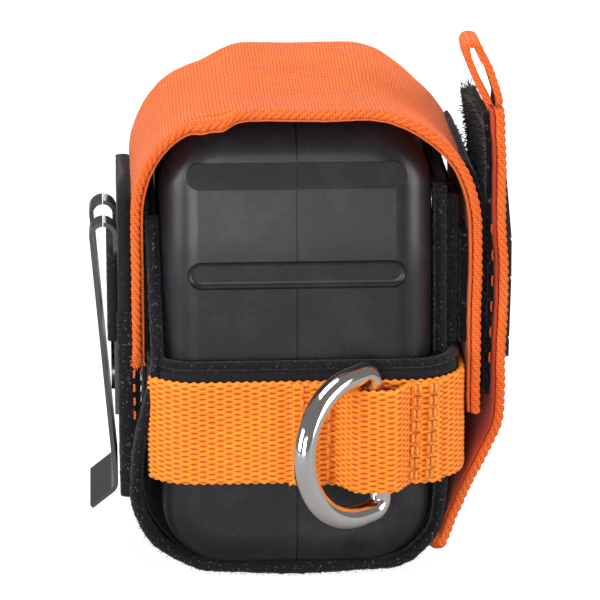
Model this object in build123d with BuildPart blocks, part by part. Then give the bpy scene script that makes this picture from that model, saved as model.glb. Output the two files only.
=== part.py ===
"""A tape measure held in a fabric tool pouch with a belt clip, a tether ring and a peel-off top strap.

Millimetres. +X is to the right of someone who faces the tether ring, +Y points away from them
towards the mouth of the tape measure, and +Z is up. The origin is on the flat underside of the
pouch, midway between its two sides.
"""

from build123d import *

import math
import os

os.makedirs("parts", exist_ok=True)

# Tape measure: case
case_width = 50.2
case_height = 84.4
case_length = 84.0
case_wall = 2.4
case_corner_radius = 12.5
case_near_radius = 7.0
case_far_radius = 4.0
nose_radius = 36.0
seam_width = 0.3
seam_depth = 0.5
grip_length = 40.2
grip_depth = 1.3
grip_rounding = 0.9
face_slope_drop = 23.6
face_slope_depth = 3.4
face_bend_radius = 60.0
rib_height = 4.6
rib_fade = 0.3
rib_below_top = 8.7
groove_height = 5.2
groove_below_top = 27.0
screw_radius = 1.5
screw_head_radius = 2.8
screw_head_height = 1.8
screw_length = 34.0
boss_radius = 3.4
boss_nose_gap = 1.2
boss_nose_across = 0.8
boss_nose_up = 0.6

# Tape measure: reel, blade, end hook and lock
coil_near_gap = 3.6
blade_room = 5.8
drum_radius = 19.0
drum_wall = 2.0
spindle_radius = 3.0
running_clearance = 0.3
blade_width = 32.0
blade_thickness = 0.5
blade_hollow_radius = 42.0
blade_travel = 30.0
blade_proud = 0.2
hook_width = 20.0
hook_thickness = 1.0
hook_tongue = 11.0
hook_lip = 6.4
hook_play = 1.0
hook_rivet_radius = 1.1
hook_rivet_spacing = 8.0
hook_rivet_share = 0.55
hook_rivet_stand = 1.0
tongue_gap = 0.05
tongue_share = 0.6
lock_width = 20.0
lock_height = 14.0
lock_thickness = 2.6
lock_travel = 8.0
lock_stem_width = 6.0
lock_above_mouth = 20.0
lock_grip_radius = 0.7
lock_grip_inset = 3.0
lock_grips = 3
lock_corner = 2.0
lock_rounding = 0.8
retainer_thickness = 1.2
retainer_share = 1.6

# Fabric body of the pouch
case_gap = 0.45
shell_thickness = 1.5
lining_thickness = 0.9
sling_left_drop = 1.0
sling_right_drop = 11.75
sling_near_y = -32.0
sling_length = 52.0
binding_width = 3.2
band_thickness = 2.2
band_margin = 0.4
band_upstand = 1.8
band_end_run = 0.2
piping_height = 1.6
webbing_width = 19.6
webbing_thickness = 1.4
webbing_z = 21.4
side_wrap = 27.0

# Tether ring and the loop that holds it
ring_wire = 4.2
ring_room = 2.4
ring_leg = 5.0
ring_corner_radius = 2.4
ring_x = 14.0
ring_drop = 0.5
ring_swing = 41.0
ring_tilt = 4.3
ring_clearance = 0.4
loop_left_x = -1.8
loop_right_x = 22.5
loop_arch_half = 6.4
loop_slope = 2.8

# Top strap, from its sewn end on the left, over the case and down the right side
strap_near_y = -38.0
strap_width = 48.0
strap_thickness = 2.2
strap_gap = 0.7
strap_sewn_gap = 1.0
strap_tail_z = 32.0
strap_left_radius = 18.0
strap_right_radius = 22.0
fold_angle = 45.0
fold_gap = 0.3

# Hook-and-loop patches
patch_margin = 3.5
side_patch_thickness = 2.0
strap_hook_thickness = 1.4
strap_loop_thickness = 0.8
flap_hook_thickness = 1.0
layer_gap = 0.4
patch_corner = 3.0

# Cover flap with its pull tab and moulded patch
flap_thickness = 2.2
flap_near_y = -36.5
flap_width = 42.0
flap_rise = 2.25
flap_knee_drop = 27.25
flap_lower_z = 30.0
flap_heel_z = 17.5
flap_lower_in = 0.6
flap_heel_in = 6.4
flap_top_in = 1.2
flap_bend_radius = 10.0
hem_start_angle = -55.0
hem_end_angle = -25.0
tab_thickness = 1.3
tab_width = 12.0
tab_length = 16.0
tab_lean = 3.4
tab_gap = 3.2
tab_angle = 14.0
tab_inset = 4.0
moulded_height = 36.0
moulded_width = 30.0
moulded_base = 0.7
moulded_relief = 0.8
moulded_fade = 0.1
moulded_below_knee = 1.5
moulded_blocks = (3.3, 11.0, 6.9, 13.0)
moulded_margin = 0.6

# Belt clip and the padded carrier that it is riveted to
carrier_thickness = 2.6
carrier_bottom = 15.0
carrier_drop = 14.3
carrier_near_y = -33.0
carrier_width = 34.0
carrier_corner = 6.0
clip_steel = 0.8
clip_width = 22.0
clip_inset = 4.0
clip_slot = 11.0
clip_slot_bottom = 57.0
clip_bend_radius = 2.2
clip_bend_z = 64.6
clip_plate_bottom = 30.0
clip_foot_z = 15.6
clip_lean = 4.1
clip_foot_reach = 4.8
clip_foot_drop = 3.8
clip_cut = 0.15
cover_thickness = 1.2
cover_bottom = 45.0
cover_top = 61.0
cover_margin = 2.5
rivet_head_radius = 3.5
rivet_head_height = 0.6
rivet_radius = 1.6
rivet_z = 37.0
rivet_spacing = 11.0

# Places that follow from the sizes above
case_near_y = -case_length / 2
case_far_y = case_length / 2
sling_thickness = shell_thickness + lining_thickness
sling_inner_x = case_width / 2 + case_gap
sling_outer_x = sling_inner_x + sling_thickness
sling_outer_radius = case_corner_radius + case_gap + sling_thickness
sling_far_y = sling_near_y + sling_length
case_bottom = sling_thickness + case_gap
case_top = case_bottom + case_height
case_mid_z = case_bottom + case_height / 2
slope_z = case_top - face_slope_drop
case_inner_x = case_width / 2 - case_wall
coil_radius = min(case_height, case_length) / 2 - case_wall - blade_room
coil_mid_y = case_near_y + case_wall + coil_near_gap + coil_radius
coil_mid_z = case_mid_z
blade_top_z = coil_mid_z - coil_radius - running_clearance
blade_hollow = blade_hollow_radius - math.sqrt(blade_hollow_radius**2 - (blade_width / 2) ** 2)
blade_low_z = blade_top_z - blade_hollow - blade_thickness
strap_inner_z = case_top + strap_gap
sling_left_top = strap_inner_z - strap_left_radius + strap_thickness / 2 - sling_left_drop
sling_right_top = case_top - sling_right_drop
band_inner_y = case_near_y - case_gap
band_outer_y = band_inner_y - band_thickness
webbing_top = webbing_z + webbing_width
webbing_mid_z = webbing_z + webbing_width / 2
strap_sewn_z = webbing_top + strap_sewn_gap
ring_inner_height = webbing_width + ring_room
band_side_x = sling_outer_x + band_thickness
webbing_side_x = band_side_x + webbing_thickness
strap_tail_x = webbing_side_x + layer_gap
strap_far_y = strap_near_y + strap_width
strap_outer_x = strap_tail_x + strap_thickness
flap_top_z = case_top + flap_rise
flap_knee_z = case_top - flap_knee_drop
flap_inner_room = strap_loop_thickness + layer_gap + flap_hook_thickness
flap_x = strap_outer_x + flap_inner_room + flap_lower_in
carrier_x = sling_outer_x + strap_thickness
carrier_top = case_top - carrier_drop
clip_x = carrier_x + carrier_thickness
clip_plate_x = clip_x + clip_steel / 2
clip_near_y = carrier_near_y + clip_inset
clip_mid_y = clip_near_y + clip_width / 2
clip_bend_x = clip_plate_x + clip_bend_radius
clip_arm_x = clip_bend_x + clip_bend_radius
webbing_outer_y = band_outer_y - webbing_thickness
ring_y = webbing_outer_y - webbing_thickness / 2 - ring_wire / 2
ring_z = webbing_mid_z - ring_drop


def at_y(y):
    """The XZ plane at a given depth; a sketch on it extrudes towards the near side."""
    return Plane.XZ.offset(-y)


def at_x(x):
    """The YZ plane at a given distance to the right; a sketch on it extrudes to the right."""
    return Plane.YZ.offset(x)


def at_z(z):
    """The XY plane at a given height."""
    return Plane.XY.offset(z)


def save(builder, name):
    """Labels a finished piece and writes its STEP file."""
    builder.part.label = name
    export_step(builder.part, f"parts/{name}.step")


def layer(outer_line, inner_line):
    """Makes the face between two open lines that run the same way."""
    outer_wire = outer_line()
    inner_wire = inner_line()
    Line(outer_wire @ 0, inner_wire @ 0)
    Line(outer_wire @ 1, inner_wire @ 1)


def sling_line(offset):
    """The U round the case, at a distance outside the sling's inner face."""
    side = sling_inner_x + offset
    floor = sling_thickness - offset
    radius = case_corner_radius + case_gap + offset
    corners = [(-side, sling_left_top), (-side, floor), (side, floor), (side, sling_right_top)]
    return FilletPolyline(*corners, radius=radius)


def strap_line(offset, left_z):
    """The arch of the strap, at a distance outside its inner face."""
    left = sling_outer_x + offset
    right = strap_tail_x + offset
    top = strap_inner_z + offset
    corners = [(-left, left_z), (-left, top), (right, top), (right, strap_tail_z)]
    inner_radii = [strap_left_radius - strap_thickness / 2, strap_right_radius - strap_thickness / 2]
    return FilletPolyline(*corners, radius=[radius + offset for radius in inner_radii])


def flap_x_at(z):
    """The inner face of the standing flap at a height: it leans in a little below and above its knee."""
    if z < flap_knee_z:
        return flap_x - flap_lower_in * (flap_knee_z - z) / (flap_knee_z - flap_lower_z)
    return flap_x - flap_top_in * (z - flap_knee_z) / (flap_top_z - flap_knee_z)


def flap_line(offset, low_z, high_z):
    """The standing part of the flap, at a distance outside its inner face, between two heights."""
    heights = [low_z, flap_knee_z, high_z] if low_z < flap_knee_z < high_z else [low_z, high_z]
    return Polyline(*[(flap_x_at(z) + offset, z) for z in heights])


def whole_flap_line(offset):
    """The flap from its hem round its heel to its top, at a distance outside its inner face."""
    corners = [
        polar(sling_outer_radius + offset, hem_end_angle),
        (flap_x - flap_heel_in + offset, flap_heel_z),
        (flap_x_at(flap_lower_z) + offset, flap_lower_z),
        (flap_x + offset, flap_knee_z),
        (flap_x_at(flap_top_z) + offset, flap_top_z),
    ]
    return FilletPolyline(*corners, radius=flap_bend_radius)


def polar(radius, angle):
    """A point about the centre of the sling's rounded lower right corner."""
    corner_x = sling_outer_x - sling_outer_radius
    across = math.cos(math.radians(angle))
    up = math.sin(math.radians(angle))
    return (corner_x + radius * across, sling_outer_radius + radius * up)


def band_line(offset):
    """The front band in plan, at a distance outside its inner face."""
    left = sling_inner_x + offset
    right = sling_outer_x + offset
    front = band_inner_y - offset
    edge = sling_near_y - binding_width
    radius = edge - band_inner_y - band_end_run + offset
    return FilletPolyline(
        (-left, edge), (-left, front), (right, front), (right, band_inner_y + side_wrap), radius=radius
    )


def slope_depth_at(z):
    """How far back the tilted upper part of the case's near face lies at a height."""
    return face_slope_depth * (z - slope_z) / face_slope_drop


def case_block(inset):
    """The tape measure's outer form, drawn in by inset on every side."""
    front_y = case_near_y + inset
    with BuildPart() as block:
        with BuildSketch(at_y(case_far_y - inset)):
            with Locations((0, case_mid_z)):
                RectangleRounded(
                    case_width - 2 * inset, case_height - 2 * inset, case_corner_radius - inset
                )
        extrude(amount=case_length - 2 * inset)
        with BuildSketch(Plane.YZ):
            with BuildLine():
                Polyline(
                    (front_y, slope_z),
                    (front_y + face_slope_depth, case_top),
                    (front_y - face_slope_depth, case_top),
                    (front_y - face_slope_depth, slope_z),
                    close=True,
                )
            make_face()
        extrude(amount=case_width, both=True, mode=Mode.SUBTRACT)
        slope_foot = block.faces().sort_by(Axis.Y)[0].edges().sort_by(Axis.Z)[-1]
        fillet(slope_foot, face_bend_radius)
        front_faces = block.faces().filter_by(lambda face: face.center().Y < front_y + face_slope_depth)
        front_faces = front_faces.filter_by(lambda face: abs(face.normal_at().Y) > 0.9)
        front_edges = [edge for face in front_faces for edge in face.edges()]
        fillet([edge for edge in front_edges if front_edges.count(edge) == 1], case_near_radius - inset)
        fillet(block.faces().sort_by(Axis.Y)[-1].edges(), case_far_radius - inset)
        with BuildSketch(Plane.YZ):
            with Locations((case_far_y - nose_radius, case_top - nose_radius)):
                Rectangle(2 * nose_radius, 2 * nose_radius, align=(Align.MIN, Align.MIN))
                Circle(nose_radius - inset, mode=Mode.SUBTRACT)
        extrude(amount=case_width, both=True, mode=Mode.SUBTRACT)
    return block.part


# ---- Tape measure: case ----

case_outer = case_block(0)
case_inner = case_block(case_wall)
case_core = case_block(case_wall / 2)
seam_core = case_block(seam_depth)
rib_z = case_top - rib_below_top
groove_z = case_top - groove_below_top
mouth_low = blade_low_z - running_clearance
mouth_high = blade_top_z + running_clearance + hook_thickness
lock_z = mouth_high + lock_above_mouth
lock_face_y = case_far_y + running_clearance
nose_y = case_far_y - nose_radius
nose_z = case_top - nose_radius
boss_y = case_far_y - case_near_radius - screw_head_radius
boss_low_z = case_bottom + case_corner_radius + screw_head_radius
boss_high_z = case_top - case_corner_radius - screw_head_radius
boss_nose = nose_radius - case_wall - boss_radius - boss_nose_gap
boss_places = [
    (-boss_y, boss_low_z),
    (-boss_y, boss_high_z),
    (boss_y, boss_low_z),
    (nose_y + boss_nose_across * boss_nose, nose_z + boss_nose_up * boss_nose),
]

rib_foot_y = case_near_y + slope_depth_at(rib_z - rib_height / 2) - grip_depth
rib_head_y = case_near_y + slope_depth_at(rib_z + rib_height / 2) - rib_fade

with BuildPart() as rib:
    with BuildSketch(at_y(case_near_y + 2 * face_slope_depth)):
        with Locations((0, rib_z)):
            SlotOverall(grip_length, rib_height)
    extrude(amount=3 * face_slope_depth)
    with BuildSketch(Plane.YZ):
        with BuildLine():
            Polyline(
                (rib_foot_y, rib_z - rib_height / 2),
                (rib_head_y, rib_z + rib_height / 2),
                (rib_foot_y - 2 * face_slope_depth, rib_z + rib_height / 2),
                (rib_foot_y - 2 * face_slope_depth, rib_z - rib_height / 2),
                close=True,
            )
        make_face()
    extrude(amount=case_width, both=True, mode=Mode.SUBTRACT)

with BuildPart() as case_whole:
    add(case_outer)
    add(rib.part)
    with BuildSketch(at_y(case_near_y)):
        with Locations((0, groove_z)):
            SlotOverall(grip_length, groove_height)
    extrude(amount=-grip_depth, mode=Mode.SUBTRACT)
    groove_floor = case_whole.faces().filter_by(Axis.Y).sort_by(Axis.Y)
    groove_floor = [face for face in groove_floor if abs(face.center().Y - case_near_y - grip_depth) < 0.01]
    fillet(groove_floor[0].edges(), grip_depth * grip_rounding)
    add(case_inner, mode=Mode.SUBTRACT)
    with BuildSketch(at_y(case_far_y)):
        with Locations((0, (mouth_low + mouth_high) / 2)):
            Rectangle(blade_width + 4 * running_clearance, mouth_high - mouth_low)
        with Locations((0, lock_z - lock_travel / 2)):
            slot_width = lock_stem_width + 2 * running_clearance
            Rectangle(slot_width, lock_stem_width + lock_travel + 2 * running_clearance)
    extrude(amount=2 * case_wall, both=True, mode=Mode.SUBTRACT)

with BuildPart() as seam_groove:
    with BuildSketch(Plane.YZ):
        with Locations((0, case_mid_z)):
            Rectangle(2 * case_length, 2 * case_height)
    extrude(amount=seam_width / 2, both=True)
    add(seam_core, mode=Mode.SUBTRACT)


def case_half(side):
    """One half of the case with its screw bosses; side is -1 for the left and 1 for the right."""
    with BuildPart() as half:
        with BuildSketch(Plane.YZ):
            with Locations(*boss_places):
                Circle(boss_radius)
        extrude(amount=side * case_width)
        add(case_core, mode=Mode.INTERSECT)
        add(case_whole.part)
        add(seam_groove.part, mode=Mode.SUBTRACT)
        split(bisect_by=Plane.YZ, keep=Keep.TOP if side > 0 else Keep.BOTTOM)
        with BuildSketch(Plane.YZ):
            with Locations(*boss_places):
                Circle(screw_radius)
        if side > 0:
            extrude(amount=case_width, mode=Mode.SUBTRACT)
            with BuildSketch(at_x(case_width / 2 - screw_head_height)):
                with Locations(*boss_places):
                    Circle(screw_head_radius)
            extrude(amount=case_width, mode=Mode.SUBTRACT)
        else:
            pilot_depth = screw_length - case_width / 2 + screw_head_height
            extrude(amount=-pilot_depth, mode=Mode.SUBTRACT)
    return half


case_left = case_half(-1)
save(case_left, "case_left")
case_right = case_half(1)
save(case_right, "case_right")

with BuildPart() as case_screws:
    with BuildSketch(at_x(case_width / 2 - screw_head_height)):
        with Locations(*boss_places):
            Circle(screw_head_radius)
    extrude(amount=screw_head_height)
    with BuildSketch(at_x(case_width / 2 - screw_head_height)):
        with Locations(*boss_places):
            Circle(screw_radius)
    extrude(amount=-screw_length)
save(case_screws, "case_screws")

# ---- Tape measure: reel, blade, end hook and lock ----

with BuildPart() as spindle:
    with BuildSketch(Plane.YZ):
        with Locations((coil_mid_y, coil_mid_z)):
            Circle(spindle_radius)
    extrude(amount=case_inner_x, both=True)
save(spindle, "spindle")

with BuildPart() as reel_drum:
    with BuildSketch(Plane.YZ):
        with Locations((coil_mid_y, coil_mid_z)):
            Circle(drum_radius)
            Circle(drum_radius - drum_wall, mode=Mode.SUBTRACT)
    extrude(amount=blade_width / 2, both=True)
    with BuildSketch(at_x(blade_width / 2)):
        with Locations((coil_mid_y, coil_mid_z)):
            Circle(drum_radius)
            Circle(spindle_radius + running_clearance, mode=Mode.SUBTRACT)
    extrude(amount=-drum_wall)
save(reel_drum, "reel_drum")

with BuildPart() as return_spring:
    with BuildSketch(at_x(-blade_width / 2)):
        with Locations((coil_mid_y, coil_mid_z)):
            Circle(drum_radius - drum_wall)
            Circle(spindle_radius * 2, mode=Mode.SUBTRACT)
    extrude(amount=blade_width - drum_wall)
save(return_spring, "return_spring")

with BuildPart() as blade_coil:
    with BuildSketch(Plane.YZ):
        with Locations((coil_mid_y, coil_mid_z)):
            Circle(coil_radius)
            Circle(drum_radius, mode=Mode.SUBTRACT)
    extrude(amount=blade_width / 2, both=True)
save(blade_coil, "blade_coil")


def blade_arc(width, offset):
    """A line across the blade, curved as the blade is, at a distance above its underside."""
    radius = blade_hollow_radius - offset
    middle_z = blade_low_z + blade_hollow_radius
    sag = radius - math.sqrt(radius**2 - (width / 2) ** 2)
    edge_z = middle_z - radius + sag
    return ThreePointArc((-width / 2, edge_z), (0, middle_z - radius), (width / 2, edge_z))


blade_end_y = case_far_y + blade_proud
blade_inside = min(blade_travel, coil_radius - coil_near_gap)
rivet_places = [-hook_rivet_spacing / 2, hook_rivet_spacing / 2]
rivet_y = blade_end_y - hook_tongue * hook_rivet_share

with BuildPart() as blade:
    with BuildSketch(at_y(blade_end_y)):
        with BuildLine():
            layer(lambda: blade_arc(blade_width, blade_thickness), lambda: blade_arc(blade_width, 0))
        make_face()
    extrude(amount=blade_end_y - coil_mid_y + blade_inside)
    with BuildSketch(Plane.XY):
        with Locations(*[(x, rivet_y) for x in rivet_places]):
            Circle(hook_rivet_radius)
    extrude(amount=case_height, mode=Mode.SUBTRACT)
save(blade, "blade")

tongue_low = blade_thickness + tongue_gap
tongue_high = tongue_low + hook_thickness * tongue_share
hook_bottom_z = blade_low_z - hook_lip


def hook_edge():
    """The straight lower edge of the end hook's lip."""
    return Line((-hook_width / 2, hook_bottom_z), (hook_width / 2, hook_bottom_z))


with BuildPart() as end_hook:
    with BuildSketch(at_y(blade_end_y)):
        with BuildLine():
            layer(lambda: blade_arc(hook_width, tongue_high), lambda: blade_arc(hook_width, tongue_low))
        make_face()
    extrude(amount=hook_tongue)
    with BuildSketch(at_y(blade_end_y)):
        with BuildLine():
            layer(lambda: blade_arc(hook_width, tongue_high), hook_edge)
        make_face()
    extrude(amount=-hook_thickness)
    with BuildSketch(Plane.XY):
        with Locations(*[(x, rivet_y - hook_play / 2) for x in rivet_places]):
            SlotCenterToCenter(hook_play, 2 * hook_rivet_radius + running_clearance, rotation=90)
    extrude(amount=case_height, mode=Mode.SUBTRACT)
save(end_hook, "end_hook")

with BuildPart() as hook_rivets:
    with BuildSketch(Plane.XY.offset(blade_low_z)):
        with Locations(*[(x, rivet_y) for x in rivet_places]):
            Circle(hook_rivet_radius)
    extrude(amount=blade_thickness + hook_thickness + hook_rivet_stand)
save(hook_rivets, "hook_rivets")

with BuildPart() as lock_slider:
    with BuildSketch(at_y(lock_face_y)):
        with Locations((0, lock_z)):
            RectangleRounded(lock_width, lock_height, lock_corner)
    extrude(amount=-lock_thickness)
    fillet(lock_slider.faces().sort_by(Axis.Y)[-1].edges(), lock_rounding)
    grip_pitch = lock_height / (lock_grips + 2)
    with BuildSketch(Plane.YZ):
        with Locations(*[(lock_face_y + lock_thickness, lock_z + (step - lock_grips // 2) * grip_pitch) for step in range(lock_grips)]):
            Circle(lock_grip_radius)
    extrude(amount=lock_width / 2 - lock_grip_inset, both=True, mode=Mode.SUBTRACT)
    with BuildSketch(at_y(lock_face_y)):
        with Locations((0, lock_z)):
            Rectangle(lock_stem_width, lock_stem_width)
    extrude(amount=case_wall + 2 * running_clearance)
save(lock_slider, "lock_slider")

with BuildPart() as lock_retainer:
    with BuildSketch(at_y(lock_face_y - case_wall - 2 * running_clearance)):
        with Locations((0, lock_z)):
            Rectangle(2 * lock_stem_width, retainer_share * lock_stem_width)
    extrude(amount=retainer_thickness)
save(lock_retainer, "lock_retainer")

# ---- Sling: shell, lining and edge bindings ----


def sling_wall(inner, outer, near_y, far_y):
    """A U-shaped wall between two distances from the sling's inner face."""
    with BuildPart() as wall:
        with BuildSketch(at_y(far_y)):
            with BuildLine():
                layer(lambda: sling_line(outer), lambda: sling_line(inner))
            make_face()
        extrude(amount=far_y - near_y)
    return wall


sling_lining = sling_wall(0, lining_thickness, sling_near_y, sling_far_y)
save(sling_lining, "sling_lining")
sling_shell = sling_wall(lining_thickness, sling_thickness, sling_near_y, sling_far_y)
save(sling_shell, "sling_shell")
binding_near = sling_wall(0, sling_thickness, sling_near_y - binding_width, sling_near_y)
save(binding_near, "sling_binding_near")
binding_far = sling_wall(0, sling_thickness, sling_far_y, sling_far_y + binding_width)
save(binding_far, "sling_binding_far")

# ---- Front band, its webbing and the loop that holds the ring ----


def band_strip(inner, outer, low_z, high_z):
    """A strip that follows the front band, between two distances from its inner face."""
    with BuildPart() as strip:
        with BuildSketch(at_z(low_z)):
            with BuildLine():
                layer(lambda: band_line(outer), lambda: band_line(inner))
            make_face()
        extrude(amount=high_z - low_z)
    return strip


band_low = webbing_z - band_margin
band_high = webbing_top + band_upstand
front_band = band_strip(0, band_thickness, band_low, band_high)
save(front_band, "front_band")
band_piping = band_strip(0, band_thickness, band_high, band_high + piping_height)
save(band_piping, "band_piping")
front_webbing = band_strip(band_thickness, band_thickness + webbing_thickness, webbing_z, webbing_top)
save(front_webbing, "front_webbing")


def loop_line(offset):
    """The ring loop in plan, at a distance outside the webbing's face."""
    base = webbing_outer_y - offset
    crown = ring_y - ring_wire / 2 - ring_clearance - offset
    foot = loop_arch_half + offset / 2
    shoulder = loop_arch_half - loop_slope + offset / 2
    return Polyline(
        (loop_left_x, base),
        (ring_x - foot, base),
        (ring_x - shoulder, crown),
        (ring_x + shoulder, crown),
        (ring_x + foot, base),
        (loop_right_x, base),
    )


with BuildPart() as ring_loop:
    with BuildSketch(at_z(webbing_z)):
        with BuildLine():
            layer(lambda: loop_line(webbing_thickness), lambda: loop_line(0))
        make_face()
    extrude(amount=webbing_width)
save(ring_loop, "ring_loop")

# ---- Tether ring ----

tilt_across = math.sin(math.radians(ring_tilt))
tilt_up = math.cos(math.radians(ring_tilt))
swing_flat = math.cos(math.radians(ring_swing))
swing_out = math.sin(math.radians(ring_swing))
ring_plane = Plane(
    origin=(ring_x, ring_y, ring_z),
    x_dir=(-swing_flat * tilt_up, -swing_out, -swing_flat * tilt_across),
    z_dir=(swing_out * tilt_up, -swing_flat, swing_out * tilt_across),
)
ring_half = (ring_inner_height + ring_wire) / 2

with BuildPart() as d_ring:
    with BuildLine(ring_plane):
        corners = [(ring_leg, ring_half), (0, ring_half), (0, -ring_half), (ring_leg, -ring_half)]
        FilletPolyline(*corners, radius=ring_corner_radius)
        ThreePointArc((ring_leg, ring_half), (ring_leg + ring_half, 0), (ring_leg, -ring_half))
    bar_section = Plane(origin=(ring_x, ring_y, ring_z), z_dir=ring_plane.y_dir)
    with BuildSketch(bar_section):
        Circle(ring_wire / 2)
    sweep()
save(d_ring, "d_ring")

# ---- Top strap: sewn end, free part and its patches ----

arc_x = -sling_outer_x + strap_left_radius - strap_thickness / 2
arc_z = strap_inner_z - strap_left_radius + strap_thickness / 2
fold_across = math.cos(math.radians(180 - fold_angle))
fold_up = math.sin(math.radians(180 - fold_angle))
fold_plane = Plane(origin=(arc_x, 0, arc_z), z_dir=(fold_up, 0, -fold_across))


def strap_solid():
    """The whole strap, from its sewn end to its tail."""
    with BuildPart() as whole:
        with BuildSketch(at_y(strap_far_y)):
            with BuildLine():
                layer(lambda: strap_line(strap_thickness, strap_sewn_z), lambda: strap_line(0, strap_sewn_z))
            make_face()
        extrude(amount=strap_width)
    return whole.part


with BuildPart() as strap_anchor:
    add(strap_solid())
    split(bisect_by=fold_plane.offset(-fold_gap / 2), keep=Keep.BOTTOM)
save(strap_anchor, "strap_anchor")

with BuildPart() as strap:
    add(strap_solid())
    split(bisect_by=fold_plane.offset(fold_gap / 2), keep=Keep.TOP)
save(strap, "strap")


def upright_pad(near_face_x, thickness, low_z, high_z, near_y, far_y):
    """A flat patch that stands on a side of the pouch."""
    with BuildPart() as pad:
        with BuildSketch(at_x(near_face_x)):
            with Locations(((near_y + far_y) / 2, (low_z + high_z) / 2)):
                RectangleRounded(far_y - near_y, high_z - low_z, patch_corner)
        extrude(amount=thickness)
    return pad


side_patch = upright_pad(
    sling_outer_x,
    side_patch_thickness,
    band_high + piping_height + layer_gap,
    sling_right_top - patch_margin,
    sling_near_y + layer_gap,
    strap_far_y - patch_margin,
)
save(side_patch, "side_loop_patch")

arc_top_z = strap_inner_z - strap_right_radius
strap_hook_patch = upright_pad(
    strap_tail_x,
    -strap_hook_thickness,
    band_high + piping_height + layer_gap,
    arc_top_z,
    strap_near_y + patch_margin,
    strap_far_y - patch_margin,
)
save(strap_hook_patch, "strap_hook_patch")

strap_loop_patch = upright_pad(
    strap_outer_x,
    strap_loop_thickness,
    strap_tail_z + patch_margin,
    arc_top_z,
    strap_near_y + patch_margin,
    strap_far_y - patch_margin,
)
save(strap_loop_patch, "strap_loop_patch")

# ---- Cover flap: sewn hem, free part, patches and pull tab ----

with BuildPart() as flap_hem:
    with BuildSketch(at_y(flap_near_y + flap_width)):
        with BuildLine():
            hem_end = hem_end_angle - math.degrees(fold_gap / sling_outer_radius)
            hem_middle = (hem_start_angle + hem_end) / 2
            outer_radius = sling_outer_radius + flap_thickness
            outer_arc = ThreePointArc(
                polar(outer_radius, hem_start_angle), polar(outer_radius, hem_middle), polar(outer_radius, hem_end)
            )
            inner_arc = ThreePointArc(
                polar(sling_outer_radius, hem_start_angle),
                polar(sling_outer_radius, hem_middle),
                polar(sling_outer_radius, hem_end),
            )
            Line(outer_arc @ 0, inner_arc @ 0)
            Line(outer_arc @ 1, inner_arc @ 1)
        make_face()
    extrude(amount=flap_width)
save(flap_hem, "flap_hem")


flap_far_y = flap_near_y + flap_width

with BuildPart() as flap:
    with BuildSketch(at_y(flap_far_y)):
        with BuildLine():
            layer(lambda: whole_flap_line(flap_thickness), lambda: whole_flap_line(0))
        make_face()
    extrude(amount=flap_width)
save(flap, "flap")

with BuildPart() as flap_hook_patch:
    with BuildSketch(at_y(flap_far_y - patch_margin)):
        low_z = flap_lower_z + patch_margin
        high_z = flap_top_z - patch_margin
        with BuildLine():
            layer(lambda: flap_line(0, low_z, high_z), lambda: flap_line(-flap_hook_thickness, low_z, high_z))
        make_face()
    extrude(amount=flap_width - 2 * patch_margin)
save(flap_hook_patch, "flap_hook_patch")

tab_near_y = flap_near_y + tab_inset
tab_turn = math.radians(tab_angle)
tab_half = tab_length / 2 - tab_thickness
tab_x = flap_x - flap_top_in + flap_thickness / 2 - tab_half * math.sin(tab_turn)
tab_z = flap_top_z + tab_half * math.cos(tab_turn)

with BuildPart() as pull_tab:
    with BuildSketch(at_y(tab_near_y + tab_width)):
        with Locations(Location((tab_x, tab_z), tab_angle)):
            SlotOverall(tab_length, 2 * tab_thickness + tab_gap, rotation=90)
            SlotOverall(tab_length - 2 * tab_thickness, tab_gap, rotation=90, mode=Mode.SUBTRACT)
    extrude(amount=tab_width)
    add(flap.part, mode=Mode.SUBTRACT)
save(pull_tab, "pull_tab")

moulded_far_y = (flap_near_y + flap_far_y + moulded_width) / 2
moulded_low_z = flap_knee_z - moulded_below_knee - moulded_height / 2
moulded_high_z = moulded_low_z + moulded_height
moulded_face = flap_thickness + moulded_base

with BuildPart() as moulded_patch:
    with BuildSketch(at_y(moulded_far_y)):
        with BuildLine():
            layer(
                lambda: flap_line(moulded_face, moulded_low_z, moulded_high_z),
                lambda: flap_line(flap_thickness, moulded_low_z, moulded_high_z),
            )
        make_face()
    extrude(amount=moulded_width)
    block_low_z = moulded_low_z
    for block_height in moulded_blocks:
        block_high_z = block_low_z + block_height
        top_block = block_height == moulded_blocks[-1]
        low_point = (flap_x_at(block_low_z) + moulded_face + moulded_relief, block_low_z)
        high_relief = moulded_fade if top_block else moulded_relief
        high_point = (flap_x_at(block_high_z) + moulded_face + high_relief, block_high_z)
        with BuildSketch(at_y(moulded_far_y - moulded_margin)):
            with BuildLine():
                layer(
                    lambda: Line(low_point, high_point),
                    lambda: flap_line(moulded_face, block_low_z, block_high_z),
                )
            make_face()
        extrude(amount=moulded_width - 2 * moulded_margin)
        block_low_z = block_high_z + moulded_margin
save(moulded_patch, "moulded_patch")

# ---- Belt clip: carrier, rivets, plate, arm and cover ----

carrier_mid_y = carrier_near_y + carrier_width / 2
rivet_locations = [(clip_mid_y + side * rivet_spacing / 2, rivet_z) for side in (-1, 1)]

with BuildPart() as clip_carrier:
    with BuildSketch(at_x(-carrier_x)):
        with Locations((carrier_mid_y, (carrier_bottom + carrier_top) / 2)):
            RectangleRounded(carrier_width, carrier_top - carrier_bottom, carrier_corner)
        with Locations(*rivet_locations):
            Circle(rivet_radius, mode=Mode.SUBTRACT)
    extrude(amount=-carrier_thickness)
save(clip_carrier, "clip_carrier")


foot_x = clip_arm_x - clip_lean
cut_angle = math.degrees(clip_cut / 2 / clip_bend_radius)

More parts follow.
